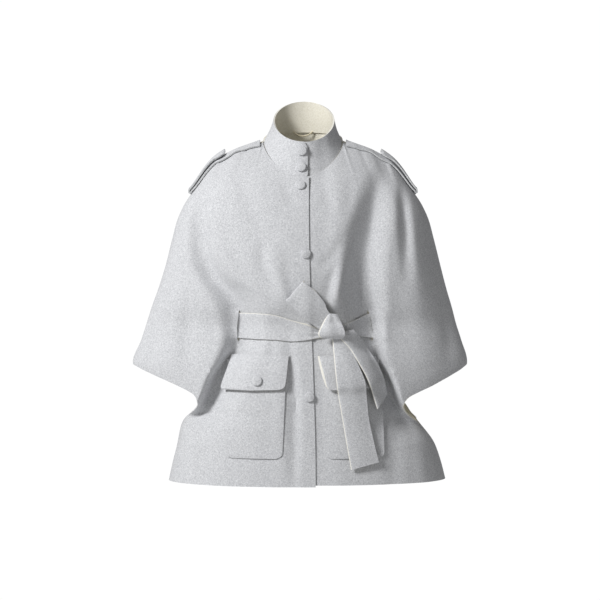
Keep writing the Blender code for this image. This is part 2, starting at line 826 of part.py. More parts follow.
def add_flap(name, corners, layers, parts):
    """A pocket flap, sewn along its top and standing off the pocket at its foot."""
    columns = 6
    drops = (0, 0.12, 0.4, 0.7, 1)
    grid = []
    for i, v in enumerate(drops):
        line = []
        for j in range(columns + 1):
            x, z = patch_point(corners, j / columns, v)
            if v == 1 and j in (0, columns):
                x += FLAP_CORNER * (1 if j == 0 else -1)
                z += FLAP_CORNER
            lift = LAY_GAP + WALL + FLAP_LIFT * v
            line.append(laid_point(layers, x, z, lift, 9 if i else 4))
        grid.append(line)
    return add_sheet(name, grid, parts)


def add_button(name, centre, foot, radius, parts):
    """A domed cloth-covered button on a point, facing along the direction from it."""
    mesh = bmesh.new()
    bmesh.ops.create_uvsphere(mesh, u_segments=12, v_segments=6, radius=1.0)
    for vert in mesh.verts:
        x, y, z = vert.co
        if z < -0.9:
            vert.co = (0, 0, 0)
        elif z < -0.7:
            vert.co = (x * 0.9, y * 0.9, 0)
        elif z < -0.2:
            vert.co = (x * 1.06, y * 1.06, 0.08)
        elif z < 0.2:
            vert.co = (x, y, 0.5)
        vert.co = (vert.co[0] * radius, vert.co[1] * radius, max(vert.co[2], 0) * BUTTON_HEIGHT)
    outward = Vector(foot) - Vector(centre)
    turn = outward.to_track_quat("Z", "Y").to_matrix().to_4x4()
    place = Matrix.Translation(Vector(foot)) @ turn
    bmesh.ops.transform(mesh, matrix=Matrix.Scale(0.001, 4) @ place, verts=mesh.verts)
    data = bpy.data.meshes.new(name)
    mesh.to_mesh(data)
    mesh.free()
    obj = bpy.data.objects.new(name, data)
    parts.objects.link(obj)
    return obj


def add_laid_button(name, place, layers, parts):
    """A button on whatever lies beneath it on the fronts."""
    x, z = place
    under = laid_point(layers, x, z, 0, 0)
    foot = laid_point(layers, x, z, LAY_GAP + 0.6, 0)
    return add_button(name, under, foot, BUTTON_RADIUS, parts)


def add_collar_buttons(parts):
    for number, rise in enumerate(COLLAR_BUTTON_RISES, 1):
        point = Vector(collar_point(COLLAR_BUTTON_ANGLE, rise))
        outward = collar_outward(COLLAR_BUTTON_ANGLE, rise)
        foot = point + outward * LAY_GAP
        add_button(f"collar_button_{number}", point, foot, BUTTON_RADIUS, parts)


def collar_outward(angle, rise):
    step = 0.02
    here = Vector(collar_point(angle, rise))
    along = Vector(collar_point(angle + step, rise)) - here
    up = Vector(collar_point(angle, rise + step)) - here
    return up.cross(along).normalized()


def add_hanging_loop(parts):
    """A narrow cord loop sewn inside the back neck."""
    curve = bpy.data.curves.new("hanging_loop", "CURVE")
    curve.dimensions = "3D"
    curve.bevel_depth = LOOP_RADIUS / 1000
    curve.bevel_resolution = 2
    curve.use_fill_caps = True
    spline = curve.splines.new("POLY")
    count = 8
    spline.points.add(count)
    for k in range(count + 1):
        t = 2 * k / count - 1
        angle = math.pi - LOOP_HALF_WIDTH / NECK_HALF_WIDTH * t
        x, y, z = collar_point(angle, 0.12)
        inward = (COLLAR_WALL + LOOP_RADIUS + SEAM_GAP + 0.3) / 1000
        sag = LOOP_SAG * (1 - t * t)
        spline.points[k].co = (x / 1000, y / 1000 - inward, (z - sag) / 1000, 1)
    obj = bpy.data.objects.new("hanging_loop", curve)
    parts.objects.link(obj)
    return obj


def main():
    clear_scene()
    parts = bpy.data.collections.new("wool_cape_coat")
    bpy.context.scene.collection.children.link(parts)
    layers = Layers()
    layers.add(add_front(LEFT, "front_right", parts))
    layers.add(add_front(RIGHT, "front_left", parts))
    layers.add(add_back(parts))
    add_collar(parts)
    add_collar_buttons(parts)
    add_strap(LEFT, "strap_right", layers, parts)
    add_strap(RIGHT, "strap_left", layers, parts)
    for number, place in enumerate(FRONT_BUTTONS, 1):
        layers.add(add_laid_button(f"front_button_{number}", place, layers, parts))
    for name, pocket, flap, button in POCKETS:
        layers.add(add_pocket(f"pocket_{name}", pocket, layers, parts))
        layers.add(add_flap(f"flap_{name}", flap, layers, parts))
        layers.add(add_laid_button(f"flap_button_{name}", button, layers, parts))
    band = add_belt_ring(layers, parts)
    tails = Layers()
    for obj in parts.objects:
        if obj.name != "belt_band" and obj.type == "MESH":
            tails.add(obj)
    tails.add(band)
    add_knot(tails, parts)
    add_strip("belt_loop", LOOP_ROWS, 3, layers, parts)
    layers.add(add_strip("belt_tail_long", LONG_TAIL_ROWS, 12, layers, parts))
    add_strip("belt_tail_short", SHORT_TAIL_ROWS, 7, layers, parts)
    add_hanging_loop(parts)
    for obj in parts.objects:
        obj.data.materials.append(make_material(obj.name))


main()
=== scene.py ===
# A wool cape coat, worn hollow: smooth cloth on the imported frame, in its real materials.
# Lengths are in millimetres until a mesh is made. The front faces -Y and the wearer's left is +X.
import math

import bmesh
import bpy
import numpy as np
from mathutils import Matrix, Vector, noise
from mathutils.bvhtree import BVHTree


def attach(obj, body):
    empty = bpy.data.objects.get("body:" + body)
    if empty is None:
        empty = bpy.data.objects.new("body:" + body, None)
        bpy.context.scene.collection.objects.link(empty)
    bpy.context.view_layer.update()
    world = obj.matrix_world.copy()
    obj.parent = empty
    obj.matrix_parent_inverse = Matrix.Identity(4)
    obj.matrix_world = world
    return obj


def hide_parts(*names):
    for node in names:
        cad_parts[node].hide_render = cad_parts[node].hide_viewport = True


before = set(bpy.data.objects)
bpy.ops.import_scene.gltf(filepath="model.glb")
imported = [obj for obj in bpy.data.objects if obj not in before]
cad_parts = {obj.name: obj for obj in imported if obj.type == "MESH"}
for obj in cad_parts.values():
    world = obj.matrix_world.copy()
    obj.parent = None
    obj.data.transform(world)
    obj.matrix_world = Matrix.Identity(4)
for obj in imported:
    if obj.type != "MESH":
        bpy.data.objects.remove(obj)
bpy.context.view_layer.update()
bpy.ops.object.select_all(action="DESELECT")
print("frame loaded")


# ---- materials ----


def linearColour(hexValue):
    channels = [int(hexValue[i : i + 2], 16) / 255 for i in (1, 3, 5)]
    linear = [c / 12.92 if c <= 0.04045 else ((c + 0.055) / 1.055) ** 2.4 for c in channels]
    return (*linear, 1.0)


def addNode(material, kind, settings=None, links=None):
    # one node with its settings, and links given as input: (node, output)
    tree = material.node_tree
    node = tree.nodes.new(kind)
    for key, value in (settings or {}).items():
        if isinstance(key, str) and hasattr(node, key):
            setattr(node, key, value)
        else:
            node.inputs[key].default_value = value
    for key, (source, output) in (links or {}).items():
        tree.links.new(source.outputs[output], node.inputs[key])
    return node


def clothMaterial(name, spec):
    # brushed wool: fibres of a few tones felted together, a soft nap that lightens at grazing angles
    material = bpy.data.materials.new(name)
    material.use_nodes = True
    tree = material.node_tree
    shader = tree.nodes["Principled BSDF"]
    shader.inputs["Roughness"].default_value = spec["roughness"]
    shader.inputs["IOR"].default_value = 1.5
    shader.inputs["Specular IOR Level"].default_value = spec["gloss"]
    shader.inputs["Sheen Weight"].default_value = spec["sheen"]
    shader.inputs["Sheen Roughness"].default_value = 0.6
    place = addNode(material, "ShaderNodeTexCoord")
    fibre = addNode(
        material,
        "ShaderNodeTexNoise",
        {"Scale": 1000 / spec["fibre"], "Detail": 4.0, "Roughness": 0.72},
        {"Vector": (place, "Object")},
    )
    tuft = addNode(
        material,
        "ShaderNodeTexNoise",
        {"Scale": 1000 / spec["tuft"], "Detail": 3.0, "Roughness": 0.6, "Distortion": 0.4},
        {"Vector": (place, "Object")},
    )
    felt = addNode(
        material,
        "ShaderNodeMix",
        {"data_type": "FLOAT", 0: 0.4},
        {2: (fibre, "Fac"), 3: (tuft, "Fac")},
    )
    ramp = addNode(material, "ShaderNodeValToRGB", {}, {"Fac": (felt, 0)})
    stops = ramp.color_ramp.elements
    stops[0].position, stops[1].position = spec["range"]
    stops[0].color = linearColour(spec["dark"])
    stops[1].color = linearColour(spec["light"])
    middle = stops.new(sum(spec["range"]) / 2)
    middle.color = linearColour(spec["middle"])
    tree.links.new(ramp.outputs["Color"], shader.inputs["Base Color"])
    bump = addNode(
        material,
        "ShaderNodeBump",
        {"Strength": spec["nap"], "Distance": 0.0008},
        {"Height": (felt, 0)},
    )
    tree.links.new(bump.outputs["Normal"], shader.inputs["Normal"])
    return material


cloths = {
    # light grey melange face of double-faced melton: dark, grey and white fibres
    "meltonFace": {
        "dark": "#A7A9AC", "middle": "#CBCCCF", "light": "#EDEEF0", "range": (0.36, 0.64),
        "fibre": 1.0, "tuft": 2.6, "roughness": 0.93, "gloss": 0.2, "sheen": 0.12, "nap": 0.5,
    },
    # cream reverse of the same cloth, smoother and plain
    "meltonReverse": {
        "dark": "#D6D1C0", "middle": "#E6E2D4", "light": "#F3F0E6", "range": (0.34, 0.66),
        "fibre": 1.1, "tuft": 3.0, "roughness": 0.9, "gloss": 0.2, "sheen": 0.1, "nap": 0.3,
    },
    # raw cut edge, where the cream reverse shows
    "meltonEdge": {
        "dark": "#D9D6CC", "middle": "#EAE8E0", "light": "#F7F5EF", "range": (0.34, 0.66),
        "fibre": 1.6, "tuft": 3.0, "roughness": 0.95, "gloss": 0.1, "sheen": 0.1, "nap": 0.3,
    },
    # turned edge of the panels, where both faces meet in a seam
    "meltonFold": {
        "dark": "#A9ABAD", "middle": "#CDCECF", "light": "#ECEDED", "range": (0.36, 0.64),
        "fibre": 1.9, "tuft": 4.0, "roughness": 0.93, "gloss": 0.2, "sheen": 0.1, "nap": 0.3,
    },
    # soft cotton cord of the hanging loop
    "cottonCord": {
        "dark": "#BDB498", "middle": "#D6CDB4", "light": "#E6DFC9", "range": (0.3, 0.7),
        "fibre": 0.9, "tuft": 2.2, "roughness": 0.8, "gloss": 0.3, "sheen": 0.05, "nap": 0.6,
    },
}  # fmt: skip
face, reverse, rawEdge, foldEdge, cord = [clothMaterial(name, cloths[name]) for name in cloths]
print("materials made")


# ---- the coat's form ----

coat = {
    "wall": 2.0,  # one layer of double-faced wool
    "seam": 0.06,  # half the groove between panels
    "overlap": 11.0,  # the upper front past the centre
    "overlapGain": 13.0,  # and further at the hem
    "underlap": -12.0,
    "tuck": 2.8,  # the lower front behind the upper one
    "neckTuck": 5.0,
    "chest": -150.0,
    "slitTop": -337.0,
    "slitFoot": -399.0,
    "wingTip": -446.0,
    "hem": -676.0,
    "columnsEach": 6,  # cloth columns to each twelfth of a panel
    "topRows": 26,
    "cutSteps": 6,
}
neck = {
    "half": 78.0, "front": 88.0, "back": 68.0, "ease": 1.7,
    "slope": 0.55, "curveFront": 0.0039, "curveBack": 0.0025,
    "rimHalf": 61.0, "rimFront": 74.0, "rimBack": 62.0,
    "rimLevel": 43.0, "rimSlope": 0.7, "rimDrop": 7.0, "rimShift": 2.0,
}  # fmt: skip
form = {
    "columns": "z left right front back square",
    "rows": [
        (26, 75, 75, 0, 71, 2.2), (-3, 81, 81, 10, 87, 2.2), (-9, 104, 104, 20, 90, 2.3),
        (-17, 126, 126, 30, 94, 2.3), (-26, 148, 148, 40, 98, 2.3), (-42, 172, 172, 57, 103, 2.3),
        (-56, 186, 186, 69, 107, 2.3), (-72, 198, 198, 82, 111, 2.3), (-88, 209, 209, 92, 115, 2.3),
        (-104, 221, 221, 100, 118, 2.3), (-118, 232, 232, 106, 120, 2.2),
        (-150, 248, 248, 116, 123, 2.1), (-198, 262, 262, 125, 126, 1.9),
        (-246, 274, 274, 129, 127, 1.8), (-300, 291, 288, 127, 127, 1.7),
        (-330, 302, 297, 121, 127, 1.65), (-368, 314, 307, 108, 127, 1.6),
        (-396, 323, 316, 111, 127, 1.6), (-446, 340, 328, 120, 128, 1.6),
        (-496, 306, 302, 126, 130, 1.7), (-530, 262, 266, 128, 131, 1.9),
        (-566, 243, 244, 130, 132, 2.1), (-610, 253, 265, 132, 134, 2.1),
        (-640, 260, 276, 134, 136, 2.1), (-676, 268, 285, 136, 137, 2.1),
    ],
}  # fmt: skip
# the cut edge below each wing corner: wing hem, notch of the arm opening, side seam
sideCut = {
    -1: [
        (340, -446), (316, -457), (289, -468), (262, -479), (236, -490), (214, -502), (207, -514),
        (206, -524), (214, -535), (231, -548), (243, -566), (252, -608), (260, -640), (268, -676),
    ],
    1: [
        (328, -446), (311, -457), (286, -470), (256, -485), (226, -498), (206, -508), (197, -519),
        (196, -530), (208, -545), (226, -558), (242, -574), (262, -602), (275, -638), (284, -673),
    ],
}  # fmt: skip
notchFoot, seamTop, straightCuts = 7, 10, 3  # rows of it
leftValley = {
    "columns": "z x depth inner outer",
    "rows": [
        (-84, 190, 0, 30, 24), (-138, 203, 9, 34, 26), (-175, 202, 12, 36, 28),
        (-218, 196, 17, 40, 34), (-248, 185, 21, 44, 40), (-276, 170, 24, 52, 46),
        (-300, 146, 26, 58, 52), (-337, 124, 27, 60, 50), (-368, 124, 28, 60, 44),
        (-399, 127, 31, 62, 34), (-430, 142, 38, 66, 28), (-473, 166, 46, 72, 25),
        (-517, 187, 42, 76, 22), (-552, 204, 20, 76, 30), (-600, 222, 0, 76, 30),
    ],
}  # fmt: skip
rightValley = {
    "columns": "z x depth inner outer",
    "rows": [
        (-50, 156, 0, 34, 34), (-118, 140, 13, 42, 44), (-156, 131, 20, 46, 50),
        (-205, 121, 26, 50, 52), (-240, 117, 29, 52, 52), (-290, 118, 30, 54, 50),
        (-337, 125, 30, 56, 44), (-368, 130, 30, 58, 34), (-399, 135, 32, 60, 26),
        (-430, 142, 37, 62, 24), (-470, 158, 43, 66, 23), (-521, 178, 42, 70, 21),
        (-560, 198, 16, 72, 30), (-600, 216, 0, 72, 30),
    ],
}  # fmt: skip
softFolds = {
    "rightWing": [
        (-80, 194, 0, 16, 16), (-150, 196, 7, 18, 20), (-240, 200, 6, 20, 22), (-300, 204, 0, 20, 22),
    ],
    "leftBust": [
        (-200, 60, 0, 26, 26), (-270, 52, -5, 26, 30), (-320, 40, -6, 24, 28), (-345, 34, 0, 24, 28),
    ],
    "rightBust": [
        (-210, 88, 0, 24, 22), (-270, 74, -6, 22, 24), (-320, 62, -7, 20, 24), (-345, 56, 0, 20, 24),
    ],
    "back": [
        (-150, 92, 0, 40, 40), (-300, 104, 9, 44, 46), (-480, 122, 14, 48, 52), (-676, 138, 17, 52, 58),
    ],
}  # fmt: skip
# creases given one by one: the line each follows (x, z), its depth (a ridge is negative), and how
# far it spreads towards -X and +X
frontCreases = [
    ([(-190, -112), (-193, -150), (-190, -196), (-183, -240)], 3.6, (10, 13)),
    ([(-128, -58), (-117, -97), (-103, -140), (-80, -194)], 2.6, (13, 18)),
    ([(-42, -80), (-30, -114), (-12, -148)], 1.8, (10, 12)),
    ([(-80, -208), (-76, -244), (-58, -285), (-38, -322), (-29, -343)], 5.0, (12, 9)),
    ([(-190, -237), (-167, -271), (-140, -304), (-121, -330), (-113, -346)], 5.0, (20, 8)),
    ([(-150, -180), (-138, -226), (-118, -268), (-98, -300)], 2.2, (16, 14)),
    ([(-252, -320), (-258, -380), (-263, -450)], -3.0, (16, 18)),
    ([(-214, -250), (-222, -330), (-226, -420), (-214, -486)], 3.2, (16, 14)),
    ([(-288, -330), (-296, -390), (-300, -452)], 2.4, (12, 12)),
    ([(-112, -392), (-117, -418), (-124, -440)], 3.0, (7, 6)),
    ([(-88, -392), (-87, -410), (-89, -426)], 2.4, (5, 5)),
    ([(-66, -394), (-62, -412), (-60, -428)], 1.6, (5, 6)),
    ([(-24, -388), (-17, -454), (-12, -518), (-12, -590), (-14, -690)], 6.5, (15, 4)),
    ([(-48, -392), (-42, -440), (-40, -520), (-42, -640)], -2.6, (12, 12)),
    ([(-190, -560), (-196, -620), (-200, -690)], 3.0, (18, 20)),
    ([(116, -256), (112, -290), (110, -318), (111, -346)], 4.6, (16, 5)),
    ([(150, -72), (139, -120), (131, -168), (124, -214)], 3.6, (12, 13)),
    ([(190, -100), (197, -146), (201, -188), (201, -236)], 4.2, (8, 10)),
    ([(222, -150), (234, -230), (246, -330), (250, -430)], 2.6, (16, 18)),
    ([(268, -300), (284, -370), (292, -446)], 2.2, (13, 12)),
    ([(206, -130), (222, -240), (240, -340), (252, -450)], -15.0, (42, 34)),
    ([(84, -186), (58, -230), (30, -260)], 2.6, (9, 10)),
    ([(70, -236), (54, -284), (43, -322)], 3.0, (9, 9)),
    ([(98, -236), (90, -280), (80, -326)], 4.6, (14, 8)),
    ([(93, -84), (90, -120), (86, -160)], 2.0, (13, 13)),
    ([(40, -92), (52, -130), (56, -176)], 1.6, (12, 12)),
    ([(108, -394), (114, -424), (124, -456)], 3.0, (7, 7)),
    ([(88, -394), (90, -410), (94, -428)], 2.2, (5, 5)),
    ([(180, -560), (176, -620), (172, -690)], 3.2, (18, 18)),
    ([(226, -600), (232, -640), (238, -690)], -2.4, (14, 14)),
]
backCreases = [
    ([(-52, -92), (-60, -190), (-74, -300), (-84, -420)], 4.0, (16, 20)),
    ([(58, -104), (62, -210), (70, -330), (90, -470)], 4.4, (20, 14)),
    ([(-6, -180), (2, -320), (-4, -470), (4, -640)], 3.0, (20, 18)),
    ([(-176, -130), (-190, -240), (-206, -350), (-212, -470)], 7.0, (16, 22)),
    ([(182, -120), (194, -230), (204, -340), (208, -480)], 7.0, (22, 15)),
    ([(-232, -210), (-252, -320), (-266, -440)], 3.4, (14, 14)),
    ([(238, -220), (254, -330), (262, -440)], 3.4, (14, 14)),
    ([(-120, -420), (-128, -540), (-140, -690)], 5.0, (16, 22)),
    ([(112, -440), (126, -560), (134, -690)], 5.4, (22, 15)),
    ([(-60, -470), (-58, -580), (-64, -690)], -4.0, (18, 18)),
    ([(52, -480), (60, -590), (58, -690)], -4.0, (18, 18)),
    ([(-196, -580), (-204, -640), (-208, -690)], 3.4, (14, 14)),
    ([(200, -590), (206, -640), (214, -690)], 3.4, (14, 14)),
]
levels = np.arange(-700.0, 101.0, 1.0)


def smoothRead(keys, values, at):
    # a smooth curve through points, read at many places
    keys, values = np.array(keys, float), np.array(values, float)
    slopes = np.gradient(values, keys)
    at = np.clip(np.asarray(at, float), keys[0], keys[-1])
    k = np.clip(np.searchsorted(keys, at, side="right") - 1, 0, len(keys) - 2)
    span = keys[k + 1] - keys[k]
    t = (at - keys[k]) / span
    start = (1 + 2 * t) * (1 - t) ** 2 * values[k] + t * (1 - t) ** 2 * span * slopes[k]
    finish = t * t * (3 - 2 * t) * values[k + 1] + t * t * (t - 1) * span * slopes[k + 1]
    return start + finish


def spreadRows(rows, columns="z x depth inner outer"):
    # a short table read out at every millimetre of height
    rows = np.array(sorted(rows), float)
    run = {"low": rows[0, 0], "high": rows[-1, 0]}
    for index, name in enumerate(columns.split()[1:], 1):
        run[name] = smoothRead(rows[:, 0], rows[:, index], levels)
    return run


def along(run, name, z):
    return np.interp(z, levels, run[name])


def ease(value, low, high):
    t = np.clip((np.asarray(value, float) - low) / (high - low), 0.0, 1.0)
    return t * t * (3 - 2 * t)


body = spreadRows(form["rows"], form["columns"])
valleys = {-1: spreadRows(leftValley["rows"]), 1: spreadRows(rightValley["rows"])}
folds = {
    -1: [valleys[-1], spreadRows(softFolds["leftBust"])],
    1: [valleys[1], spreadRows(softFolds["rightWing"]), spreadRows(softFolds["rightBust"])],
}
backFold = spreadRows(softFolds["back"])


def halfWidth(side, z):
    return along(body, "left" if side < 0 else "right", z)


def levelSection(depth, width, square, out):
    ratio = np.minimum(np.abs(out) / width, 1.0)
    return depth * (1 - ratio**square) ** (1 / square)


def foldDepth(fold, out, z):
    offset = out - along(fold, "x", z)
    reach = np.where(offset > 0, along(fold, "outer", z), along(fold, "inner", z))
    share = np.clip(np.abs(offset) / reach, 0, 1)
    inside = (z > fold["low"]) & (z < fold["high"] + 1)
    return np.where(inside, along(fold, "depth", z) * np.cos(share * np.pi / 2) ** 2, 0.0)


def creaseDepth(creases, x, z):
    # how far the hand-laid creases push the cloth in
    total = np.zeros(np.broadcast(x, z).shape)
    for line, depth, spreads in creases:
        points = np.array(line, float)
        lengths = np.hypot(*np.diff(points, axis=0).T)
        reached = np.concatenate([[0], np.cumsum(lengths)])
        nearest = np.full(total.shape, 1e9)
        signed = np.zeros(total.shape)
        share = np.zeros(total.shape)
        for k, length in enumerate(lengths):
            (ax, az), (bx, bz) = points[k], points[k + 1]
            t = np.clip(((x - ax) * (bx - ax) + (z - az) * (bz - az)) / length**2, 0, 1)
            dx, dz = x - (ax + (bx - ax) * t), z - (az + (bz - az) * t)
            distance = np.hypot(dx, dz)
            closer = distance < nearest
            nearest = np.where(closer, distance, nearest)
            signed = np.where(closer, dx, signed)
            share = np.where(closer, (reached[k] + t * length) / reached[-1], share)
        spread = np.where(signed < 0, *spreads)
        fade = np.sin(np.pi * np.clip(share * 0.92 + 0.04, 0, 1)) ** 0.8
        total += depth * np.exp(-((nearest / spread) ** 2)) * fade
    return total


def frontDepth(x, z, width=None):
    x, z = np.broadcast_arrays(np.asarray(x, float), np.asarray(z, float))
    out = np.abs(x)
    pushed = creaseDepth(frontCreases, x, z)
    result = np.zeros(x.shape)
    for side in (-1, 1):
        wide = halfWidth(side, z) if width is None else width
        base = levelSection(along(body, "front", z), wide, along(body, "square", z), out)
        near = np.clip(base / 24, 0, 1)  # creases die out at the side seams
        depth = sum(foldDepth(fold, out, z) for fold in folds[side]) + pushed * near - base
        result = np.where((x < 0) == (side < 0), depth, result)
    return result


def backDepth(x, z, width=None):
    x, z = np.broadcast_arrays(np.asarray(x, float), np.asarray(z, float))
    pushed = creaseDepth(backCreases, x, z) + foldDepth(backFold, np.abs(x), z)
    result = np.zeros(x.shape)
    for side in (-1, 1):
        wide = halfWidth(side, z) if width is None else width
        base = levelSection(along(body, "back", z), wide, along(body, "square", z), x)
        near = np.clip(base / 24, 0, 1)
        result = np.where((x < 0) == (side < 0), base - pushed * near, result)
    return result


def neckHeight(y):
    curve = np.where(y < 0, neck["curveFront"], neck["curveBack"])
    return neck["slope"] * y - curve * y * y


def neckPoint(angle, grow=0.0):
    # the neckline at an angle from the centre front, positive towards -X
    depth = np.where(np.cos(angle) > 0, neck["front"], neck["back"])
    x = -(neck["half"] + grow) * np.sin(angle)
    y = -(depth + grow) * np.cos(angle)
    return x, y, neckHeight(-depth * np.cos(angle))


def frontEdge(side, z):
    over = coat["overlap"] + coat["overlapGain"] * ease(z, coat["chest"], coat["hem"])
    return -over if side < 0 else np.full(np.shape(z), coat["underlap"])


def slitTrack(side, z, limit):
    leave = ease(z, -552, coat["hem"])
    share = (0.5 + 0.15 * leave) * limit
    follow = ease(z, -200, -330) * (1 - leave)
    return share + (along(valleys[side], "x", z) - share) * follow


def lowerOut(side, u, z, limit):
    # how far out each column lies on a row that ends at the limit
    edge, slit = frontEdge(side, z), slitTrack(side, z, limit)
    inner = edge + (slit - edge) * u / 5
    outer = slit + (limit - slit) * np.sin(np.clip((u - 5) / 7, 0, 1) * np.pi / 2)
    return np.where(u <= 5, inner, outer)


def panelRows(side):
    # the level of each row below the chest, how far out it ends, and how far it is into the side seam
    marks = [coat["chest"], coat["slitTop"], coat["slitFoot"], coat["wingTip"]]
    rows = []
    for top, foot, count in zip(marks, marks[1:], (34, 14, 8)):
        rows += [(z, float(halfWidth(side, z)), 0.0) for z in np.linspace(top, foot, count + 1)[:-1]]
    cut = np.array(sideCut[side], float)
    steps = np.arange(len(cut))
    curve = [smoothRead(steps[2:], cut[2:, axis], steps) for axis in (0, 1)]
    count = (len(cut) - 1) * coat["cutSteps"]
    for k in range(count + 1):
        at = k / coat["cutSteps"]
        if at < straightCuts:
            limit, z = (float(np.interp(at, steps, cut[:, axis])) for axis in (0, 1))
        else:
            limit, z = (float(smoothRead(steps[2:], cut[2:, axis], at)) for axis in (0, 1))
        rows.append((z, limit, float(ease(at, notchFoot, seamTop))))
    return rows


def shoulderTop(u, neckAngles):
    # distance out, y and height of the panel's top edge: round the neck, then along the shoulder
    x, y, z = neckPoint(neckAngles, neck["ease"])
    shoulderLevels = np.array([0, -9, -20, -38, -56, -75, -92, -110], float)
    outs = np.concatenate([[neck["half"] + neck["ease"]], halfWidth(-1, shoulderLevels[1:])])
    columns = np.arange(5, 13)
    alongShoulder = u > 5
    neckOut = np.abs(x) * np.where(np.sin(neckAngles) < 0, -1, 1)
    out = np.where(alongShoulder, smoothRead(columns, outs, u), neckOut)
    height = np.where(alongShoulder, smoothRead(columns, shoulderLevels, u), z)
    return out, np.where(alongShoulder, 0.0, y), height


def tuckDepth(x, z):
    depth = coat["tuck"] + (coat["neckTuck"] - coat["tuck"]) * ease(z, -125, -80)
    return depth * (1 - ease(x, 38, 68))


def unevenCloth(grid, size=1.0):
    # the slight unevenness of worn cloth
    moved = grid.copy()
    for i in range(grid.shape[0]):
        for j in range(grid.shape[1]):
            point = Vector(grid[i, j])
            moved[i, j, 1] += size * (noise.noise(point / 62) * 0.9 + noise.noise(point / 27) * 0.35)
    return moved


def frontGrid(side):
    count = 12 * coat["columnsEach"]
    u = np.linspace(0, 12, count + 1)
    start = math.asin(float(frontEdge(side, -79.0)) / neck["half"])
    out, y, z = shoulderTop(u, start + (math.pi / 2 - start) * np.clip(u / 5, 0, 1))
    rows = panelRows(side)
    low = lowerOut(side, u, coat["chest"], rows[0][1])
    offset = y - frontDepth(side * out, z)
    grid = []
    for step in range(coat["topRows"]):
        t = (step / coat["topRows"]) ** 1.35
        height = z + (coat["chest"] - z) * t
        wide = halfWidth(side, height)
        reach = out + (low - out) * t
        if step:
            reach = np.where(u == 12, wide, np.minimum(reach, wide))
        depth = frontDepth(side * reach, height) + offset * (1 - t) ** 3
        grid.append(np.stack([side * reach, np.where(u == 12, 0.0, depth), height], 1))
    for z, limit, seam in rows:
        reach = lowerOut(side, u, z, limit)
        wide = halfWidth(side, z) + (limit - halfWidth(side, z)) * seam
        depth = frontDepth(side * reach, z, max(wide, limit))
        grid.append(np.stack([side * reach, depth, np.full(len(u), z)], 1))
    return np.array(grid)


def backGrid():
    count = 12 * coat["columnsEach"]
    u = np.linspace(0, 12, count + 1)
    out, y, z = shoulderTop(u, math.pi - math.pi / 2 * np.clip(u / 5, 0, 1))
    halves = {}
    for side in (-1, 1):
        rows, others = panelRows(side), panelRows(-side)
        low = rows[0][1] * np.sin(u / 12 * math.pi / 2)
        offset = y - backDepth(side * out, z)
        half = []
        for step in range(coat["topRows"]):
            t = (step / coat["topRows"]) ** 1.35
            height = z + (coat["chest"] - z) * t
            wide = halfWidth(side, height)
            reach = out + (low - out) * t
            if step:
                reach = np.where(u == 12, wide, np.minimum(reach, wide))
            depth = backDepth(side * reach, height) + offset * (1 - t) ** 3
            half.append(np.stack([side * reach, np.where(u == 12, 0.0, depth), height], 1))
        for (z0, limit, seam), (otherZ, _, _) in zip(rows, others):
            notch = ease(z0, -480, -520) * (1 - ease(z0, -530, -572))
            limit = limit + float(notch) * (-8 if side < 0 else 13)
            wide = halfWidth(side, z0) + (limit - halfWidth(side, z0)) * seam
            middle = (z0 + otherZ) / 2
            reach = limit * np.sin(u / 12 * math.pi / 2)
            height = middle + (z0 - middle) * u / 12
            depth = backDepth(side * reach, height, max(wide, limit))
            half.append(np.stack([side * reach, depth, height], 1))
        halves[side] = np.array(half)
    return np.concatenate([halves[-1][:, :0:-1], halves[1]], axis=1)


print("form worked out")


# ---- making cloth ----


def meshFromGrid(name, points, faces, materials, faceSlots=None):
    mesh = bpy.data.meshes.new(name)
    mesh.from_pydata([tuple(float(c) / 1000 for c in p) for p in points], [], faces)
    for material in materials:
        mesh.materials.append(material)
    if faceSlots is not None:
        mesh.polygons.foreach_set("material_index", faceSlots)
    mesh.update()
    piece = bpy.data.objects.new(name, mesh)
    bpy.context.scene.collection.objects.link(piece)
    return piece


def applyModifiers(piece):
    bpy.ops.object.select_all(action="DESELECT")
    piece.select_set(True)
    bpy.context.view_layer.objects.active = piece
    for modifier in list(piece.modifiers):
        bpy.ops.object.modifier_apply(modifier=modifier.name)


def giveWall(piece, wall, offset=-1.0, smoothAngle=50):
    # slots 0, 1 and 2 are the outside, the reverse and the cut edge
    solid = piece.modifiers.new("Wall", "SOLIDIFY")
    solid.thickness = wall / 1000
    solid.offset = offset
    solid.material_offset = 1
    solid.material_offset_rim = 2
    applyModifiers(piece)
    bpy.ops.object.shade_smooth_by_angle(angle=math.radians(smoothAngle))
    return piece


def gridFaces(rows, columns, flip=False, closed=False):
    faces = []
    for i in range(rows if closed else rows - 1):
        for j in range(columns - 1):
            a, b = i * columns + j, (i + 1) % rows * columns + j
            quad = (a, b, b + 1, a + 1)
            faces.append(quad[::-1] if flip else quad)
    return faces


def withRawEdge(grid, width):
    # a bevel along the first edge, where the cream of the cut cloth turns to the front
    away = grid[:, 0] - grid[:, 1]
    away /= np.linalg.norm(away, axis=1, keepdims=True)
    width = np.broadcast_to(width, len(grid))[:, None]
    bevel = grid[:, 0] + away * width + np.array([0, 0.6, 0]) * width
    return np.concatenate([bevel[:, None], grid], axis=1)


def clothPiece(name, grid, wall, edge, flip=False, closed=False, offset=-1.0, rawFirst=False):
    rows, columns = grid.shape[:2]
    faces = gridFaces(rows, columns, flip, closed)
    slots = np.zeros(len(faces), int)
    if rawFirst:
        slots[:: columns - 1] = 2
    piece = meshFromGrid(name, grid.reshape(-1, 3), faces, [face, reverse, edge], slots)
    return giveWall(piece, wall, offset)


def finishPiece(piece, node):
    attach(piece, "root")
    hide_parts(node)
    return piece


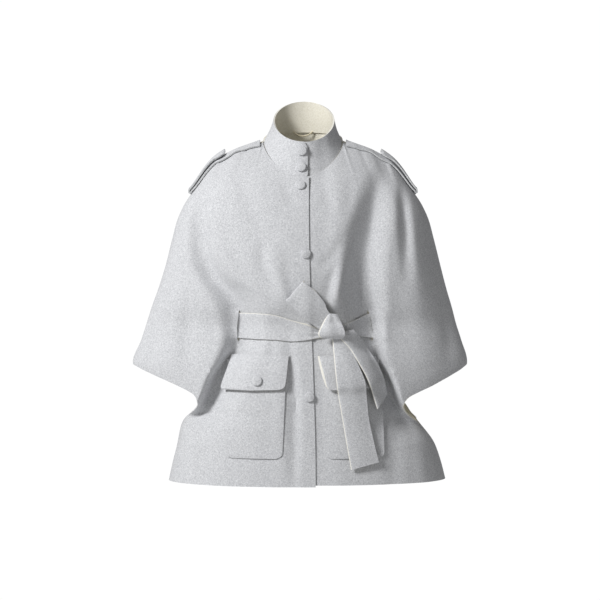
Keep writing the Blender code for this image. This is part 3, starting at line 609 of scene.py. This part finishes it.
class Layers:
    # the outside of what is already made, which the next piece lies on
    def __init__(self):
        self.points, self.faces, self.tree = [], [], None

    def add(self, piece):
        start = len(self.points)
        self.points += [vert.co * 1000 for vert in piece.data.vertices]
        self.faces += [[start + v for v in poly.vertices] for poly in piece.data.polygons]
        self.tree = BVHTree.FromPolygons(self.points, self.faces)
        return piece

    def front(self, x, z):
        hit = self.tree.ray_cast(Vector((x, -400, z)), Vector((0, 1, 0)))[0]
        return math.nan if hit is None else hit.y

    def top(self, x, y):
        # the groove of the shoulder seam is passed over
        hits = [self.tree.ray_cast(Vector((x, y + dy, 300)), Vector((0, 0, -1)))[0] for dy in (-1.5, 1.5)]
        return max((hit.z for hit in hits if hit is not None), default=math.nan)


def softened(values, rounds):
    # evens out a field of depths, its edges kept where they are
    for _ in range(rounds):
        padded = np.pad(values, 1, mode="edge")
        around = padded[:-2, 1:-1] + padded[2:, 1:-1] + padded[1:-1, :-2] + padded[1:-1, 2:]
        values = values * 0.5 + around * 0.125
    return values


def layGrid(layers, x, z, lift, rounds=4, reach=3.0, lean=1.0):
    # points on the layers beneath, lifted along the normal of the front's cloth
    step = 3.0
    slopeX = (frontDepth(x + step, z) - frontDepth(x - step, z)) / (2 * step)
    slopeZ = (frontDepth(x, z + step) - frontDepth(x, z - step)) / (2 * step)
    slopeX, slopeZ = softened(slopeX, rounds) * lean, softened(slopeZ, rounds) * lean
    length = np.sqrt(1 + slopeX**2 + slopeZ**2)
    depth = np.zeros(x.shape)
    for place in np.ndindex(x.shape):
        found = [
            layers.front(x[place] + dx, z[place] + dz)
            for dx, dz in ((0, 0), (-reach, 0), (reach, 0), (0, reach), (0, -reach))
        ]
        depth[place] = np.nanmin(found)
    depth = softened(depth, rounds)
    return np.stack([x + lift * slopeX / length, depth - lift / length, z + lift * slopeZ / length], 2)


# ---- fronts and back ----

fronts = {
    "lipOut": 4.6,  # the outer lip of each belt slit stands out and forward this far
    "lipForward": 8.0,
    "lipReach": 1.1,
    "notchEdge": 1.8,  # width of the raw edge that shows at the arm opening
}


def makeFront(side, name):
    grid = frontGrid(side)
    if side > 0:
        grid[:, :, 1] += tuckDepth(grid[:, :, 0], grid[:, :, 2])
    grid = unevenCloth(grid)
    each = coat["columnsEach"]
    top = coat["topRows"]
    grid[0, 5 * each :, 1] = -coat["seam"]
    grid[1:, -1, 1] = np.minimum(grid[1:, -1, 1], -coat["seam"])
    rows, columns = grid.shape[:2]
    column = 5 * each
    slit = [
        i for i in range(top, rows)
        if coat["slitFoot"] + 0.1 < grid[i, column, 2] < coat["slitTop"] - 0.1
    ]  # fmt: skip
    u = np.linspace(0, 12, columns)
    points = grid.reshape(-1, 3).tolist()
    lip = {}
    for i in slit:
        z = grid[i, column, 2]
        share = (coat["slitTop"] - z) / (coat["slitTop"] - coat["slitFoot"])
        open_ = math.sin(math.pi * share) ** 0.4
        for j in range(column, columns):
            fade = float(1 - ease(u[j], 5, 5 + fronts["lipReach"])) * open_
            x, y, z = grid[i, j]
            moved = (x + side * fronts["lipOut"] * fade, y - fronts["lipForward"] * fade, z)
            if j == column:
                lip[i] = len(points)
                points.append(moved)
            elif fade > 0:
                points[i * columns + j] = moved
    faces, slots = [], []
    for i in range(rows - 1):
        for j in range(columns - 1):
            quad = []
            for r, c in ((i, j), (i + 1, j), (i + 1, j + 1), (i, j + 1)):
                quad.append(lip[r] if c == column == j and r in lip else r * columns + c)
            faces.append(quad if side > 0 else quad[::-1])
            fromEdge = abs(grid[i, -1, 0] - grid[i, j, 0])
            raw = side > 0 and fromEdge < fronts["notchEdge"] and -562 < grid[i, -1, 2] < -500
            slots.append(2 if raw else 0)
    piece = meshFromGrid(name, points, faces, [face, reverse, rawEdge if side > 0 else foldEdge], slots)
    return giveWall(piece, coat["wall"])


layers = Layers()
rightFront = layers.add(makeFront(-1, "rightFrontCloth"))
leftFront = layers.add(makeFront(1, "leftFrontCloth"))
finishPiece(rightFront, "front_right")
finishPiece(leftFront, "front_left")
print("fronts made")


def makeBack():
    grid = unevenCloth(backGrid())
    each = coat["columnsEach"]
    grid[0, : 7 * each + 1, 1] = coat["seam"]
    grid[0, 17 * each :, 1] = coat["seam"]
    for column in (0, -1):
        grid[1:, column, 1] = np.maximum(grid[1:, column, 1], coat["seam"])
    return clothPiece("backCloth", grid, coat["wall"], foldEdge, flip=True)


back = layers.add(makeBack())
finishPiece(back, "back")
print("back made")


# ---- collar ----

collar = {
    "wall": 3.0,
    "over": 9.5,  # upper end past the centre
    "under": 24.0,
    "hollow": 2.5,
    "sink": 1.0,
    "corner": 9.0,  # rounding of the upper end
    "columns": 150,
    "rows": 22,
}


def collarPoint(angle, rise):
    lowX, lowY, lowZ = neckPoint(angle)
    depth = np.where(np.cos(angle) > 0, neck["rimFront"], neck["rimBack"])
    rimY = -depth * np.cos(angle)
    rimX = -neck["rimHalf"] * np.sin(angle) + neck["rimShift"]
    end = 1 - ease(angle, math.radians(-7), 0)
    rimZ = neck["rimLevel"] + neck["rimSlope"] * rimY - neck["rimDrop"] * end
    hollow = collar["hollow"] * np.sin(np.pi * rise)
    footZ = lowZ - collar["sink"]
    x = lowX + (rimX - lowX) * rise + hollow * np.sin(angle)
    y = lowY + (rimY - lowY) * rise + hollow * np.cos(angle)
    tucked = np.where(angle > 1.5 * math.pi, tuckDepth(lowX, -79.0), 0.0)
    return np.stack([x, y + tucked, footZ + (rimZ - footZ) * rise], -1)


def cornerInset(distance, radius):
    # how far an edge draws in near a rounded corner
    inside = np.clip(radius - distance, 0, radius)
    return radius - np.sqrt(np.maximum(radius**2 - inside**2, 0))


def makeCollar():
    share = np.linspace(0, 1, collar["columns"] + 1)
    lines = []
    for rise in np.linspace(1, 0, collar["rows"] + 1):
        height = 58.0
        inset = cornerInset((1 - rise) * height, collar["corner"]) + cornerInset(rise * height, 6.0)
        first = math.asin(-(collar["over"] - float(inset)) / neck["half"])
        last = 2 * math.pi + math.asin(collar["under"] / neck["half"])
        lines.append(collarPoint(first + (last - first) * share, rise))
    grid = unevenCloth(np.array(lines), 0.6)
    return clothPiece("collarCloth", grid, collar["wall"], rawEdge, flip=True)


finishPiece(makeCollar(), "collar")
print("collar made")


# ---- buttons ----

button = {"radius": 9.8, "height": 4.2, "dome": 1.5, "edge": 1.5}


def makeButton():
    # a cloth-covered disc: turned under at its foot, softly domed
    radius = button["radius"] / 1000
    bpy.ops.object.select_all(action="DESELECT")
    bpy.ops.mesh.primitive_cylinder_add(
        vertices=48, radius=radius, depth=button["height"] / 1000, location=(0, 0, button["height"] / 2000)
    )
    piece = bpy.context.active_object
    bpy.ops.object.transform_apply(location=True)
    bpy.ops.object.mode_set(mode="EDIT")
    bpy.ops.mesh.select_all(action="DESELECT")
    mesh = bmesh.from_edit_mesh(piece.data)
    for part in mesh.faces:
        part.select = part.normal.z > 0.9
    bmesh.update_edit_mesh(piece.data)
    for inset in (0.18, 0.22, 0.25, 0.2):
        bpy.ops.mesh.inset(thickness=radius * inset, depth=button["dome"] / 4000)
    mesh = bmesh.from_edit_mesh(piece.data)
    for vert in mesh.verts:
        vert.select = vert.co.z < 0.0005
    bmesh.update_edit_mesh(piece.data)
    bpy.ops.object.mode_set(mode="OBJECT")
    soft = piece.modifiers.new("Edge", "BEVEL")
    soft.width = button["edge"] / 1000
    soft.segments = 4
    soft.limit_method = "ANGLE"
    soft.angle_limit = math.radians(50)
    applyModifiers(piece)
    bpy.ops.object.shade_smooth_by_angle(angle=math.radians(60))
    piece.data.materials.clear()
    piece.data.materials.append(face)
    return piece


buttonPattern = makeButton()


def placeButton(name, node, foot, outward, sink=0.6):
    mesh = buttonPattern.data.copy()
    mesh.name = name
    turn = Vector(outward).to_track_quat("Z", "Y").to_matrix().to_4x4()
    place = Vector(foot) / 1000 - Vector(outward).normalized() * (sink / 1000)
    mesh.transform(Matrix.Translation(place) @ turn)
    piece = bpy.data.objects.new(name, mesh)
    bpy.context.scene.collection.objects.link(piece)
    finishPiece(piece, node)
    return piece


def layButton(name, node, x, z, sink=0.2):
    # the mean slope of the cloth under the whole button
    ring = [(math.cos(k * math.pi / 4) * 7, math.sin(k * math.pi / 4) * 7) for k in range(8)]
    around = np.array([[dx, layers.front(x + dx, z + dz), dz] for dx, dz in ring + [(0, 0)]])
    spots = np.c_[around[:, 0], around[:, 2], np.ones(len(around))]
    slopeX, slopeZ, depth = np.linalg.lstsq(spots, around[:, 1], rcond=None)[0]
    return placeButton(name, node, (x, depth, z), (slopeX, -1, slopeZ), sink)


frontButtons = {1: (-5, -96), 2: (5, -229), 3: (10, -372), 4: (12, -504)}
for number, (x, z) in frontButtons.items():
    sink = 3.2 if number == 3 else 0.2  # the third stays behind the belt
    layButton(f"frontButton{number}", f"front_button_{number}", x, z, sink)
for number, rise in enumerate((0.74, 0.28), 1):
    angle = math.asin(4.5 / neck["half"])
    here = Vector(collarPoint(np.array(angle), rise))
    across = Vector(collarPoint(np.array(angle + 0.02), rise)) - here
    up = Vector(collarPoint(np.array(angle), rise + 0.02)) - here
    placeButton(f"collarButton{number}", f"collar_button_{number}", here, up.cross(across), -0.1)
print("buttons made")


# ---- shoulder straps ----

strap = {
    "half": 23.0, "thick": 2.8, "start": 84.0, "fold": 219.0, "tip": 150.0,
    "spring": 4.5, "lift": 1.0, "turn": 1.3, "crown": 0.8, "stations": 44,
}  # fmt: skip


def makeStrap(side, name):
    lift = coat["wall"] * 0.2 + strap["thick"] / 2 + strap["lift"]
    turn = strap["thick"] / 2 + strap["turn"]
    stations = [(out, lift) for out in np.linspace(strap["start"], strap["fold"], strap["stations"])]
    for angle in np.linspace(0, math.pi, 10)[1:-1]:
        stations.append((strap["fold"] + turn * math.sin(angle), lift + turn * (1 - math.cos(angle))))
    for k in range(26):
        t = k / 25
        out = strap["fold"] + (strap["tip"] - strap["fold"]) * t
        stations.append((out, lift + 2 * turn + strap["spring"] * t**1.5))
    shares = np.linspace(-1, 1, 15)
    held = np.array([min(out, strap["fold"]) for out, _ in stations])
    heights = np.array([[layers.top(side * out, strap["half"] * share) for share in shares] for out in held])
    for _ in range(3):
        heights[1:-1] = heights[1:-1] * 0.5 + (heights[:-2] + heights[2:]) * 0.25
    grid = []
    for k, (out, rise) in enumerate(stations):
        ahead, behind = layers.top(side * (held[k] + 5), 0), layers.top(side * (held[k] - 5), 0)
        slope = (ahead - behind) / 10
        length = math.hypot(1, slope)
        fromTip = abs(out - strap["tip"]) if k > len(stations) - 14 else 99.0
        half = strap["half"] - float(cornerInset(np.array(fromTip), 8.0))
        line = []
        for j, share in enumerate(shares):
            z = heights[k, j] + slope * (out - held[k])
            high = (rise + strap["crown"] * (1 - share**2)) / length
            line.append((side * (out - high * slope), half * share, z + high))
        grid.append(line)
    piece = clothPiece(name, np.array(grid), strap["thick"], foldEdge, flip=side > 0, offset=0.0)
    piece.data.materials[1] = face
    return piece


for side, name, node in ((-1, "rightStrap", "strap_right"), (1, "leftStrap", "strap_left")):
    finishPiece(makeStrap(side, name), node)
print("straps made")


# ---- pockets and flaps ----

pockets = {
    "right": {
        "pocket": ((-149, -434), (-32, -434), (-149, -622), (-40, -622)),
        "flap": ((-139, -424), (-28, -424), (-158, -494), (-36, -490)),
        "button": (-88, -473),
    },
    "left": {
        "pocket": ((36, -434), (150, -434), (42, -622), (156, -622)),
        "flap": ((31, -426), (142, -428), (46, -492), (156, -488)),
        "button": (93, -473),
    },
}
pocket = {
    "bulge": 3.0, "corner": 12.0, "lift": 4.2, "flapCorner": 9.0, "curl": 5.0, "raw": 4.6,
    "columns": 34, "rows": 44, "flapRows": 26,
}  # fmt: skip


def patchGrid(corners, columns, rows, radius):
    # places inside four corners, the two lower ones rounded
    (ax, az), (bx, bz), (cx, cz), (dx, dz) = corners
    u, v = np.meshgrid(np.linspace(0, 1, columns + 1), np.linspace(0, 1, rows + 1) ** 0.85)
    height = math.hypot(cx - ax, cz - az)
    width = math.hypot(dx - cx, dz - cz)
    inset = cornerInset((1 - v) * height, radius) / width
    u = inset + u * (1 - 2 * inset)
    x = (ax + (bx - ax) * u) * (1 - v) + (cx + (dx - cx) * u) * v
    z = (az + (bz - az) * u) * (1 - v) + (cz + (dz - cz) * u) * v
    return x, z, u, v


for word, spec in pockets.items():
    curled = word == "left"  # its free edge curls out and shows the cream
    x, z, u, v = patchGrid(spec["pocket"], pocket["columns"], pocket["rows"], pocket["corner"])
    bulge = pocket["bulge"] * np.sin(np.pi * u) * np.sin(np.pi * v) ** 0.5
    grid = layGrid(layers, x, z, coat["wall"] + 0.3 + bulge, 6)
    piece = layers.add(clothPiece(f"{word}Pocket", unevenCloth(grid, 0.5), coat["wall"], foldEdge))
    finishPiece(piece, f"pocket_{word}")
    x, z, u, v = patchGrid(spec["flap"], pocket["columns"], pocket["flapRows"], pocket["flapCorner"])
    lift = coat["wall"] + 0.3 + pocket["lift"] * ease(v, 0.0, 0.9)
    if curled:
        lift = lift + pocket["curl"] * ease(u, 0.3, 0.0) * ease(v, 0.0, 0.6)
    grid = layGrid(layers, x, z, lift, 8, 5.0)
    if curled:
        grid = withRawEdge(grid, pocket["raw"] * np.sin(np.pi * np.linspace(0.2, 1, len(grid))) ** 0.7)
    edge = rawEdge if curled else foldEdge
    piece = layers.add(clothPiece(f"{word}Flap", grid, coat["wall"], edge, rawFirst=curled))
    finishPiece(piece, f"flap_{word}")
    layButton(f"{word}FlapButton", f"flap_button_{word}", *spec["button"])
print("pockets made")


# ---- belt ----

belt = {
    "wall": 2.2, "half": 25.0, "level": -368.0, "lift": 0.6,
    "waistHalf": 152.0, "waistFront": 118.0, "waistBack": 104.0, "slitLevel": 3.5, "slitPass": 8.0,
    "raw": 1.7,  # the bevel of cream that shows along a raw edge
}  # fmt: skip
beltFront = [
    # x, level of its middle, half its height
    (-124, -367.5, 24.5), (-90, -369, 25), (-56, -371, 24), (-20, -378, 20), (5, -381, 15),
    (34, -382, 8), (62, -377, 10), (79, -377, 12), (100, -373, 16), (130, -368, 24),
]  # fmt: skip


def makeBand():
    rows = np.array(beltFront, float)
    ends = {
        "left": 0.5 - float(along(valleys[-1], "x", belt["level"])),
        "right": float(along(valleys[1], "x", belt["level"])) - 0.5,
    }
    count, across = 90, 9
    t = np.linspace(0, 1, count + 1)
    middle = ends["right"] + (ends["left"] - ends["right"]) * t
    level = smoothRead(rows[:, 0], rows[:, 1], middle)
    half = smoothRead(rows[:, 0], rows[:, 2], middle)
    shares = np.linspace(1, -1, across)
    z = level[:, None] + half[:, None] * shares[None, :]
    leanRight = along(valleys[1], "x", z) - along(valleys[1], "x", belt["level"])
    leanLeft = along(valleys[-1], "x", belt["level"]) - along(valleys[-1], "x", z)
    x = middle[:, None] + leanRight * np.maximum(1 - 3 * t, 0)[:, None]
    x += leanLeft * np.maximum(3 * t - 2, 0)[:, None]
    near = np.exp(-(((x - 40) / 38) ** 2))  # gathers that run into the knot
    gathers = 1.5 * near * np.cos(shares * 7.5 + x / 23)
    grid = layGrid(layers, x, z, belt["lift"] + belt["wall"] + 0.6 + gathers, 3, 1.2)
    lines = list(grid)
    step = np.array([belt["slitLevel"], 0.0, 0.0])
    lines.insert(0, grid[0] + step)
    lines.append(grid[-1] - step)
    start = math.pi + math.acos((belt["slitPass"] - ends["left"]) / belt["waistHalf"])
    finish = -math.acos((belt["slitPass"] + ends["right"]) / belt["waistHalf"])
    for angle in np.linspace(start, finish, 80):
        depth = belt["waistFront"] if math.sin(angle) < 0 else belt["waistBack"]
        ringX, ringY = belt["waistHalf"] * math.cos(angle), depth * math.sin(angle)
        lines.append(np.array([(ringX, ringY, belt["level"] + belt["half"] * share) for share in shares]))
    grid = np.array(lines)
    # the upper edge rolls open towards the knot
    roll = 1.1 + 2.6 * np.exp(-(((grid[:, 0, 0] - 14) / 20) ** 2))
    grid = withRawEdge(grid, np.where((grid[:, 0, 1] < -60) & (grid[:, 0, 0] < 60), roll, 0.5))
    return clothPiece("beltBand", grid, belt["wall"], rawEdge, closed=True, rawFirst=True)


band = makeBand()
finishPiece(band, "belt_band")


def stripGrid(rows, perRow, across):
    rows = np.array(rows, float)
    steps = np.arange(len(rows))
    at = np.linspace(0, len(rows) - 1, (len(rows) - 1) * perRow + 1)
    x0, z0, x1, z1, lift = (smoothRead(steps, rows[:, k], at) for k in range(5))
    share = np.linspace(0, 1, across)
    x = x0[:, None] + (x1 - x0)[:, None] * share
    z = z0[:, None] + (z1 - z0)[:, None] * share
    return x, z, np.repeat(lift[:, None], across, 1), share[None, :], at[:, None]


def makeStrip(name, rows, base, camber, raw, rounds=6, reach=2.0, grooves=0.0):
    # a length of belt, its first edge bevelled where the raw cream shows
    x, z, lift, share, at = stripGrid(rows, 8, 15)
    lift = belt["lift"] + belt["wall"] + lift + camber * np.sin(np.pi * share)
    lift = lift + grooves * np.cos(9.0 * share - 0.9 * at) * np.sin(np.pi * at / at.max())
    grid = layGrid(base, x, z, lift, rounds, reach, 0.0 if grooves else 1.0)
    if raw:
        grid = withRawEdge(grid, raw)
    return clothPiece(name, grid, belt["wall"], rawEdge, rawFirst=bool(raw))


loopRows = [
    # x0, z0, x1, z1, lift: one edge, the other edge, height off the front
    (30, -366, 50, -345, 0.5), (4, -349, 36, -318, 1.0), (-15, -335, 20, -297, 1.4),
    (-28, -322, 0, -287, 1.8), (-33, -316, 1, -281, 5.0), (-30, -320, 1, -284, 9.0),
    (-14, -335, 21, -298, 11.5), (5, -350, 38, -319, 13.0), (30, -374, 56, -344, 12.0),
]  # fmt: skip
longTailRows = [
    (56, -388, 76, -390, 6.0), (59, -423, 92, -425, 6.0), (63, -470, 112, -474, 6.5),
    (67, -500, 117, -506, 5.5), (73, -533, 123, -543, 4.5), (81, -580, 133, -587, 3.5),
    (92, -643, 143, -630, 5.0),
]  # fmt: skip
shortTailRows = [
    (64, -384, 90, -376, 8.0), (80, -407, 106, -397, 9.5), (100, -442, 130, -430, 9.0),
    (119, -478, 148, -464, 8.0), (136, -531, 157, -503, 8.0),
]  # fmt: skip
knotRows = [
    (50, -348, 64, -350, 5.0), (49, -344, 65, -345, 12.0), (43, -356, 71, -357, 17.0),
    (36, -370, 77, -370, 19.5), (31, -383, 80, -382, 19.0), (37, -391, 77, -391, 14.0),
    (46, -392, 67, -393, 5.0),
]  # fmt: skip
overBelt = Layers()
for piece in (rightFront, leftFront, band):
    overBelt.add(piece)
layers.add(band)
finishPiece(
    makeStrip("beltLoop", loopRows, overBelt, 1.0, 0, 6, 2.0),
    "belt_loop",
)  # fmt: skip
finishPiece(
    makeStrip("longTail", longTailRows, layers, 1.2, belt["raw"], 10, 3.0),
    "belt_tail_long",
)  # fmt: skip
finishPiece(
    makeStrip("shortTail", shortTailRows, layers, 1.0, belt["raw"], 8, 3.0),
    "belt_tail_short",
)  # fmt: skip
finishPiece(
    makeStrip("beltKnot", knotRows, layers, 2.0, 2.4, 14, 3.0, 1.3),
    "belt_knot",
)  # fmt: skip
print("belt made")


# ---- hanging loop ----

hanging = {"radius": 1.5, "half": 20.0, "sag": 9.5, "rise": 0.02}


def makeHangingLoop():
    curve = bpy.data.curves.new("hangingLoop", "CURVE")
    curve.dimensions = "3D"
    curve.bevel_depth = hanging["radius"] / 1000
    curve.bevel_resolution = 4
    curve.use_fill_caps = True
    spline = curve.splines.new("POLY")
    count = 40
    spline.points.add(count)
    for k in range(count + 1):
        t = 2 * k / count - 1
        x, y, z = collarPoint(np.array(math.pi - hanging["half"] / neck["half"] * t), hanging["rise"])
        inward = collar["wall"] + hanging["radius"] + 0.5
        spline.points[k].co = (x / 1000, (y - inward) / 1000, (z - hanging["sag"] * (1 - t * t)) / 1000, 1)
    piece = bpy.data.objects.new("hangingLoop", curve)
    bpy.context.scene.collection.objects.link(piece)
    bpy.ops.object.select_all(action="DESELECT")
    piece.select_set(True)
    bpy.context.view_layer.objects.active = piece
    bpy.ops.object.convert(target="MESH")
    piece = bpy.context.active_object
    bpy.ops.object.shade_smooth()
    piece.data.materials.clear()
    piece.data.materials.append(cord)
    return piece


finishPiece(makeHangingLoop(), "hanging_loop")
bpy.data.objects.remove(buttonPattern)
print("hanging loop made")


# ---- floor, light and camera ----

studio = {
    "floor": -1.42, "floorSize": 4.8, "distance": 3.0, "lens": 90, "target": (-0.006, 0.0, -0.318),
    "fill": 0.22, "backdrop": 1.02,
}  # fmt: skip
lamps = [
    # place, size in metres, power in watts
    ((-2.0, -2.0, 1.35), 0.8, 96.0),
    ((0.0, 2.6, 1.6), 1.6, 22.0),
]


def makeStudio():
    bpy.ops.object.select_all(action="DESELECT")
    bpy.ops.mesh.primitive_plane_add(size=studio["floorSize"], location=(0, 0, studio["floor"]))
    floor = bpy.context.active_object
    floor.name = "paleFloor"
    paint = bpy.data.materials.new("matte pale floor paint")
    paint.use_nodes = True
    paint.node_tree.nodes["Principled BSDF"].inputs["Base Color"].default_value = linearColour("#EDEDEC")
    paint.node_tree.nodes["Principled BSDF"].inputs["Roughness"].default_value = 0.9
    floor.data.materials.append(paint)
    target = Vector(studio["target"])
    for number, (place, size, power) in enumerate(lamps, 1):
        lamp = bpy.data.lights.new(f"softbox{number}", "AREA")
        lamp.size, lamp.energy = size, power
        holder = bpy.data.objects.new(f"softbox{number}", lamp)
        holder.location = place
        holder.rotation_euler = (target - Vector(place)).to_track_quat("-Z", "Y").to_euler()
        bpy.context.scene.collection.objects.link(holder)
    world = bpy.data.worlds.new("whiteStudio")
    world.use_nodes = True
    tree = world.node_tree
    background = tree.nodes["Background"]
    background.inputs["Color"].default_value = (1, 1, 1, 1)
    background.inputs["Strength"].default_value = studio["fill"]
    seen = tree.nodes.new("ShaderNodeBackground")
    seen.inputs["Color"].default_value = (1, 1, 1, 1)
    seen.inputs["Strength"].default_value = studio["backdrop"]
    path = tree.nodes.new("ShaderNodeLightPath")
    mix = tree.nodes.new("ShaderNodeMixShader")
    tree.links.new(path.outputs["Is Camera Ray"], mix.inputs["Fac"])
    tree.links.new(background.outputs["Background"], mix.inputs[1])
    tree.links.new(seen.outputs["Background"], mix.inputs[2])
    tree.links.new(mix.outputs["Shader"], tree.nodes["World Output"].inputs["Surface"])
    bpy.context.scene.world = world
    camera = bpy.data.cameras.new("camera")
    camera.lens, camera.sensor_width, camera.clip_end = studio["lens"], 36, 100
    holder = bpy.data.objects.new("camera", camera)
    holder.location = target + Vector((0, -studio["distance"], 0))
    holder.rotation_euler = (math.pi / 2, 0, 0)
    bpy.context.scene.collection.objects.link(holder)
    bpy.context.scene.camera = holder
    bpy.context.scene.view_settings.view_transform = "Standard"


makeStudio()
print("studio made")
